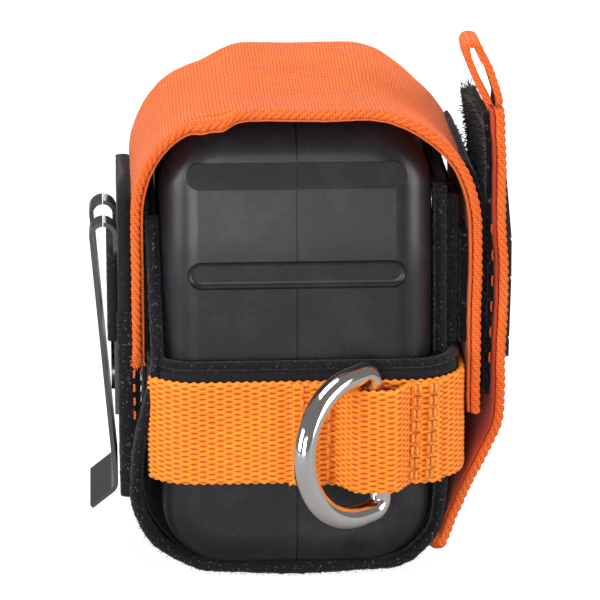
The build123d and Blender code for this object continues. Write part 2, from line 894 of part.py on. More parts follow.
with BuildPart() as clip_plate:
    with BuildSketch(at_y(clip_near_y + clip_width)):
        with BuildLine():
            Line((-clip_plate_x, clip_plate_bottom), (-clip_plate_x, clip_bend_z))
            CenterArc((-clip_bend_x, clip_bend_z), clip_bend_radius, 0, 90 - cut_angle)
        trace(line_width=clip_steel)
    extrude(amount=clip_width)
    with BuildSketch(Plane.YZ):
        with Locations((clip_mid_y, clip_slot_bottom)):
            Rectangle(clip_slot, clip_bend_z, align=(Align.CENTER, Align.MIN))
        with Locations(*rivet_locations):
            Circle(rivet_radius)
    extrude(amount=-2 * clip_arm_x, mode=Mode.SUBTRACT)
save(clip_plate, "clip_plate")

with BuildPart() as clip_arm:
    with BuildSketch(at_y(clip_near_y + clip_width)):
        with BuildLine():
            CenterArc((-clip_bend_x, clip_bend_z), clip_bend_radius, 90 + cut_angle, 90 - cut_angle)
            FilletPolyline(
                (-clip_arm_x, clip_bend_z),
                (-foot_x, clip_foot_z),
                (-foot_x - clip_foot_reach, clip_foot_z - clip_foot_drop),
                radius=clip_bend_radius,
            )
        trace(line_width=clip_steel)
    extrude(amount=clip_width)
    with BuildSketch(Plane.YZ):
        with Locations((clip_mid_y, clip_slot_bottom)):
            Rectangle(clip_slot, clip_bend_z, align=(Align.CENTER, Align.MIN))
    extrude(amount=-2 * clip_arm_x, mode=Mode.SUBTRACT)
save(clip_arm, "clip_arm")

clip_face_x = clip_x + clip_steel

with BuildPart() as clip_rivets:
    with BuildSketch(at_x(-clip_face_x)):
        with Locations(*rivet_locations):
            Circle(rivet_head_radius)
    extrude(amount=-rivet_head_height)
    with BuildSketch(at_x(-clip_face_x)):
        with Locations(*rivet_locations):
            Circle(rivet_radius)
    extrude(amount=clip_steel + carrier_thickness)
    with BuildSketch(at_x(-carrier_x)):
        with Locations(*rivet_locations):
            Circle(rivet_head_radius)
    extrude(amount=rivet_head_height)
save(clip_rivets, "clip_rivets")

cover_near_y = clip_near_y - cover_margin
cover_far_y = clip_near_y + clip_width + cover_margin

with BuildPart() as clip_cover:
    with BuildSketch(at_x(-clip_x)):
        with Locations(((cover_near_y + cover_far_y) / 2, (cover_bottom + cover_top) / 2)):
            RectangleRounded(cover_far_y - cover_near_y, cover_top - cover_bottom, cover_margin)
    extrude(amount=-(clip_steel + cover_thickness))
    with BuildSketch(at_x(-clip_x)):
        with Locations((clip_mid_y, cover_bottom)):
            Rectangle(clip_width, 2 * cover_top)
    extrude(amount=-clip_steel, mode=Mode.SUBTRACT)
save(clip_cover, "clip_cover")
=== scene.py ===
"""Looks of the tool pouch: woven straps, bound edges, hook and loop, clip, ring and plastic case."""

import math

import bmesh
import bpy
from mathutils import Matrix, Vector, noise


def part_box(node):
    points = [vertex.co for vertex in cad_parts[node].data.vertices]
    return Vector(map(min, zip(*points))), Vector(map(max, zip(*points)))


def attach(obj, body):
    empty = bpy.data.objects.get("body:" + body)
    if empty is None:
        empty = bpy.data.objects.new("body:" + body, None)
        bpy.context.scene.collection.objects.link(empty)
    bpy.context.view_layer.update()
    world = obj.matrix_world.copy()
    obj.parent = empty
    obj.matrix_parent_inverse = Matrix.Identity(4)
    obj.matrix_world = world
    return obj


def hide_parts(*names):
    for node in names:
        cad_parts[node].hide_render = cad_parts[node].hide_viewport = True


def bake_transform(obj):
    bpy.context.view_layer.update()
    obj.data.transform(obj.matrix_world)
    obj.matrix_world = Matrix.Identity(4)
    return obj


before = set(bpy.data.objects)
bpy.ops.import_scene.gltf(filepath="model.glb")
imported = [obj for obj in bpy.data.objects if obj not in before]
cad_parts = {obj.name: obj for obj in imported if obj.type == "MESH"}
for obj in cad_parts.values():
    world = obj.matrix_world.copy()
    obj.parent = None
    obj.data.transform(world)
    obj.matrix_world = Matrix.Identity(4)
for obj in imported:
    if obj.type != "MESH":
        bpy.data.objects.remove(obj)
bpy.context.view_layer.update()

MM = 0.001
X = Vector((1, 0, 0))
Y = Vector((0, 1, 0))
Z = Vector((0, 0, 1))


def box_mm(node):
    """The lowest and highest corners of a CAD node, in millimetres."""
    low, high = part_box(node)
    return low / MM, high / MM


# ---------------------------------------------------------------- camera, floor and light

camera_distance = 750
camera_azimuth = math.radians(-3)
camera_elevation = math.radians(16)
camera_target = Vector((2.66, 0, 43.48))


def add_camera():
    """A long lens, a little to the left of the pouch and above it."""
    data = bpy.data.cameras.new("camera")
    data.lens = 231.7
    data.sensor_width = 36
    data.clip_start = 0.01
    camera = bpy.data.objects.new("camera", data)
    bpy.context.collection.objects.link(camera)
    flat = math.cos(camera_elevation)
    look = Vector(
        (
            -math.sin(camera_azimuth) * flat,
            math.cos(camera_azimuth) * flat,
            -math.sin(camera_elevation),
        )
    )
    camera.location = (camera_target - look * camera_distance) * MM
    camera.rotation_euler = look.to_track_quat("-Z", "Y").to_euler()
    bpy.context.scene.camera = camera


def add_area_light(name, place, size, power):
    """A square softbox at a place in millimetres, facing the middle of the pouch."""
    data = bpy.data.lights.new(name, "AREA")
    data.size = size * MM
    data.energy = power
    light = bpy.data.objects.new(name, data)
    bpy.context.collection.objects.link(light)
    light.location = Vector(place) * MM
    aim = Vector((0, 0, 45)) - Vector(place)
    light.rotation_euler = aim.to_track_quat("-Z", "Y").to_euler()


def add_stage():
    """White floor, white surroundings and five soft lights."""
    bm = bmesh.new()
    bmesh.ops.create_grid(bm, x_segments=1, y_segments=1, size=4)
    mesh = bpy.data.meshes.new("floor")
    bm.to_mesh(mesh)
    bm.free()
    floor = bpy.data.objects.new("floor", mesh)
    bpy.context.collection.objects.link(floor)
    paint = bpy.data.materials.new("floor_white")
    paint.use_nodes = True
    shader = paint.node_tree.nodes["Principled BSDF"]
    shader.inputs["Base Color"].default_value = (0.34, 0.34, 0.34, 1)
    shader.inputs["Roughness"].default_value = 0.9
    shader.inputs["Specular IOR Level"].default_value = 0.1
    shader.inputs["Emission Color"].default_value = (1, 1, 1, 1)
    direct = paint.node_tree.nodes.new("ShaderNodeLightPath")
    glow = paint.node_tree.nodes.new("ShaderNodeMath")
    glow.operation = "MULTIPLY"
    glow.inputs[1].default_value = 0.88
    paint.node_tree.links.new(direct.outputs["Is Camera Ray"], glow.inputs[0])
    paint.node_tree.links.new(glow.outputs[0], shader.inputs["Emission Strength"])
    floor.data.materials.append(paint)
    world = bpy.data.worlds.new("studio")
    bpy.context.scene.world = world
    world.use_nodes = True
    background = world.node_tree.nodes["Background"]
    background.inputs["Color"].default_value = (1, 1, 1, 1)
    background.inputs["Strength"].default_value = 0.2
    add_area_light("top", (-60, -40, 760), 420, 4.6)
    add_area_light("key", (-620, -380, 200), 320, 3.4)
    add_area_light("front", (-260, -1100, 120), 420, 9.0)
    add_area_light("fill", (640, -360, 160), 320, 3.2)
    add_area_light("back", (160, 560, 420), 420, 1.5)
    bpy.context.scene.view_settings.view_transform = "Standard"


# ---------------------------------------------------------------- node groups and materials


class Nodes:
    """A short way to place and link nodes in one tree."""

    def __init__(self, tree):
        self.tree = tree

    def add(self, kind, **settings):
        node = self.tree.nodes.new(kind)
        for key, value in settings.items():
            setattr(node, key, value)
        return node

    def link(self, source, target):
        self.tree.links.new(source, target)

    def feed(self, socket, value):
        """Links a socket to another, or sets its value."""
        if isinstance(value, bpy.types.NodeSocket):
            self.link(value, socket)
        else:
            socket.default_value = value

    def math(self, operation, a, b=0.0):
        node = self.add("ShaderNodeMath", operation=operation)
        self.feed(node.inputs[0], a)
        self.feed(node.inputs[1], b)
        return node.outputs[0]

    def mix_colour(self, factor, a, b):
        node = self.add("ShaderNodeMix", data_type="RGBA")
        self.feed(node.inputs[0], factor)
        self.feed(node.inputs[6], a)
        self.feed(node.inputs[7], b)
        return node.outputs[2]

    def noise(self, vector, scale, detail=3.0, roughness=0.55):
        node = self.add("ShaderNodeTexNoise")
        self.feed(node.inputs["Vector"], vector)
        node.inputs["Scale"].default_value = scale
        node.inputs["Detail"].default_value = detail
        node.inputs["Roughness"].default_value = roughness
        return node.outputs["Fac"]

    def span(self, value, low, high, new_low=0.0, new_high=1.0):
        node = self.add("ShaderNodeMapRange")
        self.feed(node.inputs["Value"], value)
        node.inputs["From Min"].default_value = low
        node.inputs["From Max"].default_value = high
        node.inputs["To Min"].default_value = new_low
        node.inputs["To Max"].default_value = new_high
        return node.outputs["Result"]


def new_group(name, inputs, outputs):
    """A shader node group with named sockets; returns its tree, its input node and its output node."""
    group = bpy.data.node_groups.new(name, "ShaderNodeTree")
    for socket, kind, value in inputs:
        made = group.interface.new_socket(socket, in_out="INPUT", socket_type=kind)
        if value is not None:
            made.default_value = value
    for socket, kind in outputs:
        group.interface.new_socket(socket, in_out="OUTPUT", socket_type=kind)
    nodes = Nodes(group)
    return nodes, nodes.add("NodeGroupInput"), nodes.add("NodeGroupOutput")


rows_below_zero = 4000


def make_weave_group():
    """Plain weave on a UV map in metres: threads that pass over and under each other, and a mask for
    painted shade where they dip between each other.
    """
    nodes, given, made = new_group(
        "plain_weave",
        [
            ("Vector", "NodeSocketVector", None),
            ("Pitch Along", "NodeSocketFloat", 0.0006),
            ("Pitch Across", "NodeSocketFloat", 0.0006),
        ],
        [("Height", "NodeSocketFloat"), ("Gap Shade", "NodeSocketFloat"), ("Yarn", "NodeSocketFloat")],
    )
    uneven = nodes.math("SUBTRACT", nodes.noise(given.outputs["Vector"], 260), 0.5)
    wobble = nodes.math("MULTIPLY", uneven, 0.9)
    split = nodes.add("ShaderNodeSeparateXYZ")
    nodes.link(given.outputs["Vector"], split.inputs[0])
    warp_count = nodes.math("DIVIDE", split.outputs[0], given.outputs["Pitch Along"])
    weft_count = nodes.math("DIVIDE", split.outputs[1], given.outputs["Pitch Across"])
    along = nodes.math("ADD", warp_count, wobble)
    across = nodes.math("ADD", weft_count, wobble)
    row = nodes.math("ADD", nodes.math("FLOOR", across), rows_below_zero)
    parity = nodes.math("MODULO", nodes.math("ADD", nodes.math("FLOOR", along), row), 2)
    wave_along = nodes.math("ABSOLUTE", nodes.math("SINE", nodes.math("MULTIPLY", along, math.pi)))
    wave_across = nodes.math("ABSOLUTE", nodes.math("SINE", nodes.math("MULTIPLY", across, math.pi)))
    dip_along = nodes.math("ADD", nodes.math("MULTIPLY", wave_along, 0.45), 0.55)
    dip_across = nodes.math("ADD", nodes.math("MULTIPLY", wave_across, 0.45), 0.55)
    over = nodes.math("GREATER_THAN", parity, 0.5)
    under = nodes.math("SUBTRACT", 1.0, over)
    warp = nodes.math("MULTIPLY", nodes.math("MULTIPLY", wave_across, dip_along), over)
    weft = nodes.math("MULTIPLY", nodes.math("MULTIPLY", wave_along, dip_across), under)
    height = nodes.math("ADD", warp, weft)
    nodes.link(height, made.inputs["Height"])
    # mask for painted shade in the dips between the threads
    nodes.link(nodes.span(height, 0.12, 0.5, 1, 0), made.inputs["Gap Shade"])
    nodes.link(over, made.inputs["Yarn"])
    return nodes.tree


def make_fuzz_group():
    """Brushed cloth: a soft uneven nap with a few light fibres lying on it."""
    nodes, given, made = new_group(
        "brushed_nap",
        [("Vector", "NodeSocketVector", None), ("Scale", "NodeSocketFloat", 1.0)],
        [("Height", "NodeSocketFloat"), ("Fibres", "NodeSocketFloat")],
    )
    scaled = nodes.add("ShaderNodeVectorMath", operation="SCALE")
    nodes.link(given.outputs["Vector"], scaled.inputs[0])
    nodes.link(given.outputs["Scale"], scaled.inputs["Scale"])
    fine = nodes.math("MULTIPLY", nodes.noise(scaled.outputs[0], 2600, 4, 0.7), 0.6)
    coarse = nodes.math("MULTIPLY", nodes.noise(scaled.outputs[0], 620, 3, 0.6), 0.8)
    nodes.link(nodes.math("ADD", fine, coarse), made.inputs["Height"])
    specks = nodes.noise(scaled.outputs[0], 1900, 2, 0.5)
    nodes.link(nodes.span(specks, 0.62, 0.74), made.inputs["Fibres"])
    return nodes.tree


def make_grain_group():
    """Fine spark-eroded texture of moulded plastic, with faint scuffs."""
    nodes, given, made = new_group(
        "moulded_grain",
        [("Vector", "NodeSocketVector", None), ("Scale", "NodeSocketFloat", 1.0)],
        [("Height", "NodeSocketFloat"), ("Speck", "NodeSocketFloat"), ("Scuff", "NodeSocketFloat")],
    )
    scaled = nodes.add("ShaderNodeVectorMath", operation="SCALE")
    nodes.link(given.outputs["Vector"], scaled.inputs[0])
    nodes.link(given.outputs["Scale"], scaled.inputs["Scale"])
    fine = nodes.noise(scaled.outputs[0], 3800, 2, 0.6)
    nodes.link(fine, made.inputs["Height"])
    nodes.link(nodes.span(fine, 0.55, 0.75), made.inputs["Speck"])
    nodes.link(nodes.span(nodes.noise(scaled.outputs[0], 90, 5, 0.65), 0.5, 0.8), made.inputs["Scuff"])
    return nodes.tree


weave_group = make_weave_group()
fuzz_group = make_fuzz_group()
grain_group = make_grain_group()


def new_material(name, metallic=0.0, roughness=0.6, specular=0.5, sheen=0.0):
    """A Principled material; returns it with its node helper and its shader."""
    material = bpy.data.materials.new(name)
    material.use_nodes = True
    nodes = Nodes(material.node_tree)
    shader = material.node_tree.nodes["Principled BSDF"]
    shader.inputs["Metallic"].default_value = metallic
    shader.inputs["Roughness"].default_value = roughness
    shader.inputs["Specular IOR Level"].default_value = specular
    shader.inputs["Sheen Weight"].default_value = sheen
    shader.inputs["Sheen Roughness"].default_value = 0.4
    return material, nodes, shader


def use_group(nodes, tree, coordinates, **values):
    """Places a group in a material and feeds its vector."""
    node = nodes.add("ShaderNodeGroup", node_tree=tree)
    nodes.link(coordinates, node.inputs["Vector"])
    for key, value in values.items():
        node.inputs[key.replace("_", " ")].default_value = value
    return node


def add_bump(nodes, shader, height, strength, distance):
    """Feeds a height to the shader's normal; distance is in metres."""
    bump = nodes.add("ShaderNodeBump")
    bump.inputs["Strength"].default_value = strength
    bump.inputs["Distance"].default_value = distance
    nodes.link(height, bump.inputs["Height"])
    nodes.link(bump.outputs["Normal"], shader.inputs["Normal"])


def woven_cloth(name, thread, shade, gap, pitch_along, pitch_across, depth=0.00012):
    """Dyed plain-weave cloth whose threads follow the piece's own UV map; the gap colour is painted shade
    between the threads.
    """
    material, nodes, shader = new_material(name, roughness=0.85, specular=0.18, sheen=0.08)
    place = nodes.add("ShaderNodeTexCoord")
    weave = use_group(
        nodes, weave_group, place.outputs["UV"], Pitch_Along=pitch_along, Pitch_Across=pitch_across
    )
    patches = nodes.noise(place.outputs["Object"], 70, 4)
    yarn = nodes.mix_colour(nodes.span(patches, 0.3, 0.7), thread, shade)
    bright = nodes.mix_colour(nodes.math("MULTIPLY", weave.outputs["Yarn"], 0.25), yarn, shade)
    # painted shade: the gap colour darkens the cloth between the threads
    colour = nodes.mix_colour(nodes.math("MULTIPLY", weave.outputs["Gap Shade"], 0.85), bright, gap)
    nodes.link(colour, shader.inputs["Base Color"])
    add_bump(nodes, shader, weave.outputs["Height"], 0.8, depth)
    return material


def napped_cloth(name, colour, fibre, scale=1.0, fibre_share=0.5, depth=0.0002):
    """Brushed black cloth with light fibres caught on it."""
    material, nodes, shader = new_material(name, roughness=0.95, specular=0.15, sheen=0.12)
    place = nodes.add("ShaderNodeTexCoord")
    nap = use_group(nodes, fuzz_group, place.outputs["Object"], Scale=scale)
    mixed = nodes.mix_colour(nodes.math("MULTIPLY", nap.outputs["Fibres"], fibre_share), colour, fibre)
    nodes.link(mixed, shader.inputs["Base Color"])
    add_bump(nodes, shader, nap.outputs["Height"], 0.9, depth)
    return material


def moulded_plastic(name, colour, scuffed, roughness, specular, scale=1.0, depth=0.00002):
    """Moulded plastic or rubber with a fine even texture."""
    material, nodes, shader = new_material(name, roughness=roughness, specular=specular)
    place = nodes.add("ShaderNodeTexCoord")
    grain = use_group(nodes, grain_group, place.outputs["Object"], Scale=scale)
    scuffs = nodes.mix_colour(nodes.math("MULTIPLY", grain.outputs["Scuff"], 0.35), colour, scuffed)
    mixed = nodes.mix_colour(nodes.math("MULTIPLY", grain.outputs["Speck"], 0.5), scuffs, scuffed)
    nodes.link(mixed, shader.inputs["Base Color"])
    worn = nodes.math("MULTIPLY_ADD", grain.outputs["Speck"], -0.12)
    worn.node.inputs[2].default_value = roughness
    nodes.link(worn, shader.inputs["Roughness"])
    add_bump(nodes, shader, grain.outputs["Height"], 0.7, depth)
    return material


def plated_metal(name, colour, roughness, scale=1.0, scratch=0.05):
    """Plated or polished steel with faint scratches and handling marks."""
    material, nodes, shader = new_material(name, metallic=1.0, roughness=roughness)
    place = nodes.add("ShaderNodeTexCoord")
    grain = use_group(nodes, grain_group, place.outputs["Object"], Scale=scale)
    dull = [channel * 0.8 for channel in colour[:3]] + [1]
    mixed = nodes.mix_colour(nodes.math("MULTIPLY", grain.outputs["Scuff"], 0.5), colour, dull)
    nodes.link(mixed, shader.inputs["Base Color"])
    worn = nodes.math("MULTIPLY_ADD", grain.outputs["Scuff"], scratch)
    worn.node.inputs[2].default_value = roughness
    nodes.link(worn, shader.inputs["Roughness"])
    return material


webbing_orange = (0.95, 0.30, 0.012, 1)
webbing_shade = (0.90, 0.22, 0.008, 1)
# painted shade, a deep red orange, for the slits between the floats
webbing_slit_shade = (0.50, 0.05, 0.004, 1)


def ribbed_webbing(name):
    """Heavy orange webbing with painted shade, a deep red orange, in the hollows stored on the mesh."""
    material, nodes, shader = new_material(name, roughness=0.6, specular=0.35, sheen=0.15)
    depth = nodes.add("ShaderNodeAttribute", attribute_name="hollow")
    place = nodes.add("ShaderNodeTexCoord")
    yarns = nodes.noise(place.outputs["UV"], 900, 3)
    top = nodes.mix_colour(nodes.span(yarns, 0.35, 0.65), webbing_orange, webbing_shade)
    # painted shade: the hollow attribute darkens the slits between the floats
    colour = nodes.mix_colour(depth.outputs["Fac"], top, webbing_slit_shade)
    nodes.link(colour, shader.inputs["Base Color"])
    add_bump(nodes, shader, nodes.noise(place.outputs["Object"], 5200, 2), 0.5, 0.00006)
    return material


orange = (0.84, 0.185, 0.032, 1)
orange_shade = (0.82, 0.15, 0.024, 1)
# a darker orange painted as shade between the threads
orange_gap_shade = (0.38, 0.024, 0.006, 1)
materials = {
    "strap_cloth": woven_cloth(
        "strap_cloth", orange, orange_shade, orange_gap_shade, 0.00062, 0.0014, 0.0002
    ),
    "hem_cloth": woven_cloth(
        "hem_cloth", orange, orange_shade, orange_gap_shade, 0.0005, 0.0005, 0.00008
    ),
    "webbing": ribbed_webbing("webbing"),
    "thread_orange": woven_cloth(
        "thread_orange", (1.0, 0.40, 0.07, 1), (0.95, 0.3, 0.04, 1), orange_gap_shade, 0.0003, 0.0003
    ),
    "binding": napped_cloth("binding", (0.008, 0.008, 0.010, 1), (0.20, 0.20, 0.22, 1)),
    "panel_cloth": napped_cloth(
        "panel_cloth", (0.012, 0.012, 0.014, 1), (0.07, 0.07, 0.08, 1), 0.7, 0.4
    ),
    "hook_tape": napped_cloth(
        "hook_tape", (0.007, 0.007, 0.009, 1), (0.20, 0.19, 0.19, 1), 0.6, 0.55
    ),
    "fibre": napped_cloth("fibre", (0.018, 0.018, 0.02, 1), (0.12, 0.12, 0.13, 1)),
    # the orange cloth darkened to a deep red: painted shade for the flap's shaded inner face
    "shaded_flap_lining": woven_cloth(
        "shaded_flap_lining", (0.62, 0.075, 0.02, 1), (0.5, 0.05, 0.014, 1), orange_gap_shade, 0.0006, 0.0005
    ),
    "case_plastic": moulded_plastic(
        "case_plastic", (0.008, 0.008, 0.0105, 1), (0.05, 0.05, 0.058, 1), 0.38, 0.35
    ),
    "inner_plastic": moulded_plastic(
        "inner_plastic", (0.06, 0.06, 0.065, 1), (0.12, 0.12, 0.13, 1), 0.5, 0.5
    ),
    "lock_plastic": moulded_plastic(
        "lock_plastic", (0.85, 0.13, 0.015, 1), (0.95, 0.3, 0.1, 1), 0.4, 0.5
    ),
    "moulded_rubber": moulded_plastic(
        "moulded_rubber", (0.012, 0.012, 0.014, 1), (0.04, 0.04, 0.045, 1), 0.55, 0.4, 0.8
    ),
    "nickel": plated_metal("nickel", (0.78, 0.76, 0.73, 1), 0.06),
    "spring_steel": plated_metal("spring_steel", (0.17, 0.17, 0.18, 1), 0.18, 1.4, 0.12),
    "zinc_steel": plated_metal("zinc_steel", (0.55, 0.55, 0.56, 1), 0.3, 1.2, 0.1),
    "dark_rivet": plated_metal("dark_rivet", (0.10, 0.10, 0.11, 1), 0.3),
    "blade_paint": moulded_plastic("blade_paint", (0.86, 0.60, 0.03, 1), (0.9, 0.7, 0.2, 1), 0.35, 0.5),
}

# ---------------------------------------------------------------- shapes


def rounded_path(corners, radii, step):
    """Points a step apart along straight runs in one plane that are joined by tangent arcs."""
    corners = [Vector(corner) for corner in corners]
    dense = [corners[0]]
    for before, corner, after, radius in zip(corners, corners[1:], corners[2:], radii):
        inward = (before - corner).normalized()
        outward = (after - corner).normalized()
        half = inward.angle(outward) / 2
        reach = radius / math.tan(half)
        centre = corner + (inward + outward).normalized() * (radius / math.sin(half))
        start = corner + inward * reach - centre
        finish = corner + outward * reach - centre
        turn = start.angle(finish)
        count = max(2, int(turn * radius / 0.1))
        for index in range(count + 1):
            share = index / count
            weight_a = math.sin((1 - share) * turn) / math.sin(turn)
            weight_b = math.sin(share * turn) / math.sin(turn)
            dense.append(centre + start * weight_a + finish * weight_b)
    dense.append(corners[-1])
    return even_points(dense, step)


def even_points(points, step):
    """The same line with its points spaced evenly, about a step apart."""
    lengths = [0.0]
    for a, b in zip(points, points[1:]):
        lengths.append(lengths[-1] + (b - a).length)
    count = max(1, round(lengths[-1] / step))
    even, index = [], 0
    for number in range(count + 1):
        target = lengths[-1] * number / count
        while index < len(points) - 2 and lengths[index + 1] < target:
            index += 1
        run = lengths[index + 1] - lengths[index]
        share = (target - lengths[index]) / run if run > 1e-9 else 0
        even.append(points[index].lerp(points[index + 1], min(1, share)))
    return even


def wander(place, scale, seed=0.0):
    """Smooth repeatable unevenness between -1 and 1."""
    return noise.noise(place * scale + Vector((seed, seed * 1.7, -seed)))


def smooth_step(value, low, high):
    """0 below low, 1 above high and a smooth rise between."""
    share = min(1, max(0, (value - low) / (high - low)))
    return share * share * (3 - 2 * share)


def hump(value, centre, spread):
    """A smooth bump that is 1 at its centre."""
    return math.exp(-(((value - centre) / spread) ** 2))


def band_section(width, low, high, cells, edge_cells=3, back_cells=None):
    """A flat strip's outline with rounded edges, as (lift, across) pairs, from 0 to width."""
    back_cells = back_cells or cells
    radius = (high - low) / 2
    middle = (high + low) / 2
    run = width - 2 * radius
    outline = [(high, radius + run * index / cells) for index in range(cells + 1)]
    for index in range(1, 2 * edge_cells):
        angle = math.pi / 2 - math.pi * index / (2 * edge_cells)
        outline.append((middle + radius * math.sin(angle), width - radius + radius * math.cos(angle)))
    outline += [(low, width - radius - run * index / back_cells) for index in range(back_cells + 1)]
    for index in range(1, 2 * edge_cells):
        angle = -math.pi / 2 - math.pi * index / (2 * edge_cells)
        outline.append((middle + radius * math.sin(angle), radius + radius * math.cos(angle)))
    return outline


def round_section(radius_lift, radius_across, sides, lift=0.0, across=0.0):
    """An oval outline about a point."""
    outline = []
    for index in range(sides):
        turn = 2 * math.pi * index / sides
        outline.append((lift + radius_lift * math.cos(turn), across + radius_across * math.sin(turn)))
    return outline


def as_object(bm, name, material):
    """Finishes a mesh made in millimetres as an object at the origin, in metres."""
    bmesh.ops.scale(bm, vec=(MM, MM, MM), verts=bm.verts)
    mesh = bpy.data.meshes.new(name)
    bm.to_mesh(mesh)
    bm.free()
    for face in mesh.polygons:
        face.use_smooth = True
    piece = bpy.data.objects.new(name, mesh)
    bpy.context.collection.objects.link(piece)
    piece.data.materials.append(materials[material])
    return piece


merge_distance = 1e-5


def sweep_into(bm, path, side, section, change=None, hollow=None):
    """Carries an outline along a path that lies in a plane square to side, and adds it to a mesh.

    An outline point is (lift, across): lift is along the path's normal, across along side. change
    may move a point: it is given the distance along the path, lift, across, the point and the normal.
    hollow gives how deep a point lies between the yarns, from 0 to 1.
    """
    columns, around = len(path) - 1, len(section)
    distance = [0.0]
    for a, b in zip(path, path[1:]):
        distance.append(distance[-1] + (b - a).length)
    girth = [0.0]
    for (lift_a, across_a), (lift_b, across_b) in zip(section, section[1:] + section[:1]):
        girth.append(girth[-1] + math.hypot(lift_b - lift_a, across_b - across_a))
    texture = bm.loops.layers.uv.verify()
    pit = bm.verts.layers.float.new("hollow") if hollow else None
    added = bmesh.ops.create_grid(bm, x_segments=columns, y_segments=around, size=0.5)["verts"]
    for vertex in added:
        column = round((vertex.co.x + 0.5) * columns)
        row = round((vertex.co.y + 0.5) * around)
        for loop in vertex.link_loops:
            loop[texture].uv = (distance[column] * MM, girth[row] * MM)
        ahead = path[min(column + 1, columns)]
        behind = path[max(column - 1, 0)]
        normal = (ahead - behind).cross(side).normalized()
        lift, across = section[row % around]
        point = path[column] + normal * lift + side * across
        if pit is not None:
            vertex[pit] = hollow(distance[column], lift, across)
        if change is not None:
            point = point + change(distance[column], lift, across, point, normal)
        vertex.co = point
    bmesh.ops.remove_doubles(bm, verts=added, dist=merge_distance)


def finish_sweep(bm, name, material):
    """Closes the open ends of a swept mesh and turns its faces outwards."""
    rims = [edge for edge in bm.edges if edge.is_boundary]
    if rims:
        bmesh.ops.holes_fill(bm, edges=rims, sides=0)
    bmesh.ops.recalc_face_normals(bm, faces=bm.faces)
    return as_object(bm, name, material)


def swept(name, material, path, side, section, change=None, hollow=None):
    """One outline carried along one path, as an object."""
    bm = bmesh.new()
    sweep_into(bm, path, side, section, change, hollow)
    return finish_sweep(bm, name, material)


def shifted(path, offset):
    """The path moved by a vector."""
    return [point + offset for point in path]


rim_plies = 3


def twisted_edge(name, path, lift, across, radius=0.5, twist=0.42, pitch=4.4, wave=None):
    """A bound edge: thin plies laid round each other along the rim of a strap."""
    bm = bmesh.new()
    for ply in range(rim_plies):
        phase = 2 * math.pi * ply / rim_plies

        def lay(distance, _lift, _across, point, normal, phase=phase):
            turn = 2 * math.pi * distance / pitch + phase
            move = normal * (math.cos(turn) * twist) + Y * (math.sin(turn) * twist)
            return move + wave(distance, lift, across, point, normal) if wave else move

        sweep_into(bm, path, Y, round_section(radius, radius, 7, lift, across), lay)
    return finish_sweep(bm, name, "hem_cloth")


def stitches(name, material, lines, length, gap, radius, sink=0.06):
    """Rows of thread on a surface: each line is a path and the direction that faces out of the cloth."""
    bm = bmesh.new()
    for path, out in lines:
        pieces = even_points(path, (length + gap))
        for a, b in zip(pieces, pieces[1:]):
            run = (b - a) * (length / (length + gap))
            side = run.cross(out).normalized()
            bend = []
            for share in (0, 0.2, 0.5, 0.8, 1):
                rise = radius * (1.1 * math.sin(share * math.pi) - 0.35) - sink
                bend.append(a + run * share + out * rise)
            sweep_into(bm, bend, side, round_section(radius, radius, 6))
    return finish_sweep(bm, name, material)


def fibres(name, material, roots, length, radius, curl, seed):
    """Short hairs: each root is a point and the direction it stands out in."""
    bm = bmesh.new()
    for number, (root, out) in enumerate(roots):
        drift = Vector(
            (wander(root, 9.1, seed), wander(root, 8.3, seed + 7), wander(root, 7.7, seed + 13))
        )
        way = (out + drift * curl).normalized()
        reach = length * (0.55 + 0.9 * abs(wander(root, 5.3, seed + number % 17)))
        bend = drift.cross(out)
        path = []
        for share in (0, 0.35, 0.7, 1):
            path.append(root + way * reach * share + bend * (reach * share * share * curl))
        side = way.orthogonal().normalized()
        sweep_into(bm, path, side, round_section(radius, radius, 3))
    return finish_sweep(bm, name, material)


def settle(piece, body, nodes=()):
    """Rides a piece on a body and hides the CAD nodes it stands for."""
    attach(piece, body)
    if nodes:
        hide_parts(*nodes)
    return piece


def across_fold(piece, body_a, body_b, start, end, nodes=(), slot=None):
    """Bakes a piece's placement into its mesh and hides the CAD nodes it stands for; start and end are in
    millimetres.
    """
    Vector(start) * MM
    Vector(end) * MM
    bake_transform(piece)
    if nodes:
        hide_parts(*nodes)
    return piece


# ---------------------------------------------------------------- top strap

cloth_thickness = 2.2
full_strap_width = 48
full_flap_width = 42
rim_lift = 1.45
strap_fold = ((-28, 0, 84.5), (-19, 0, 84.5))


def strap_path(step):
    """The inner face of the strap at its near edge, from the sewn end over the case to the tail."""
    anchor_low, _ = box_mm("strap_anchor")
    strap_low, strap_high = box_mm("strap")
    left = anchor_low.x + cloth_thickness
    right = strap_high.x - cloth_thickness
    top = strap_high.z - cloth_thickness
    near = strap_low.y
    corners = [
        (left, near, anchor_low.z),
        (left, near, top),
        (right, near, top),
        (right, near, strap_low.z),
    ]
    return rounded_path(corners, [16.9, 20.9], step)


def strap_sag(distance, lift, across, point, normal):
    """How the worn strap leaves its true line: raised far edge, drooping near edge, ripples."""
    share = across / full_strap_width
    upper = smooth_step(point.z, 70, 86)
    back = 2.5 * smooth_step(point.x, -17, -8) * (1 - smooth_step(point.x, 13, 27)) * upper
    rise = back * smooth_step(share, 0.1, 1.0)
    lump = -1.5 * hump(point.x, -14, 2.6) * (1 - smooth_step(across, 0.3, 4)) * upper
    lump += -0.8 * hump(point.x, -17.5, 1.6) * (1 - smooth_step(across, 0.3, 3)) * upper
    ripple = 0.25 * wander(point, 0.09, 3) + 0.08 * wander(point, 0.5, 5)
    near = (1 - smooth_step(across, 0, 12)) * upper
    forward = (-Y * 4.0 + Z * 0.9) * near
    wave = Y * (0.35 * wander(Vector((distance, 0, 0)), 0.12, 9) * (1 - share))
    return normal * (rise + lump + ripple) + forward + wave


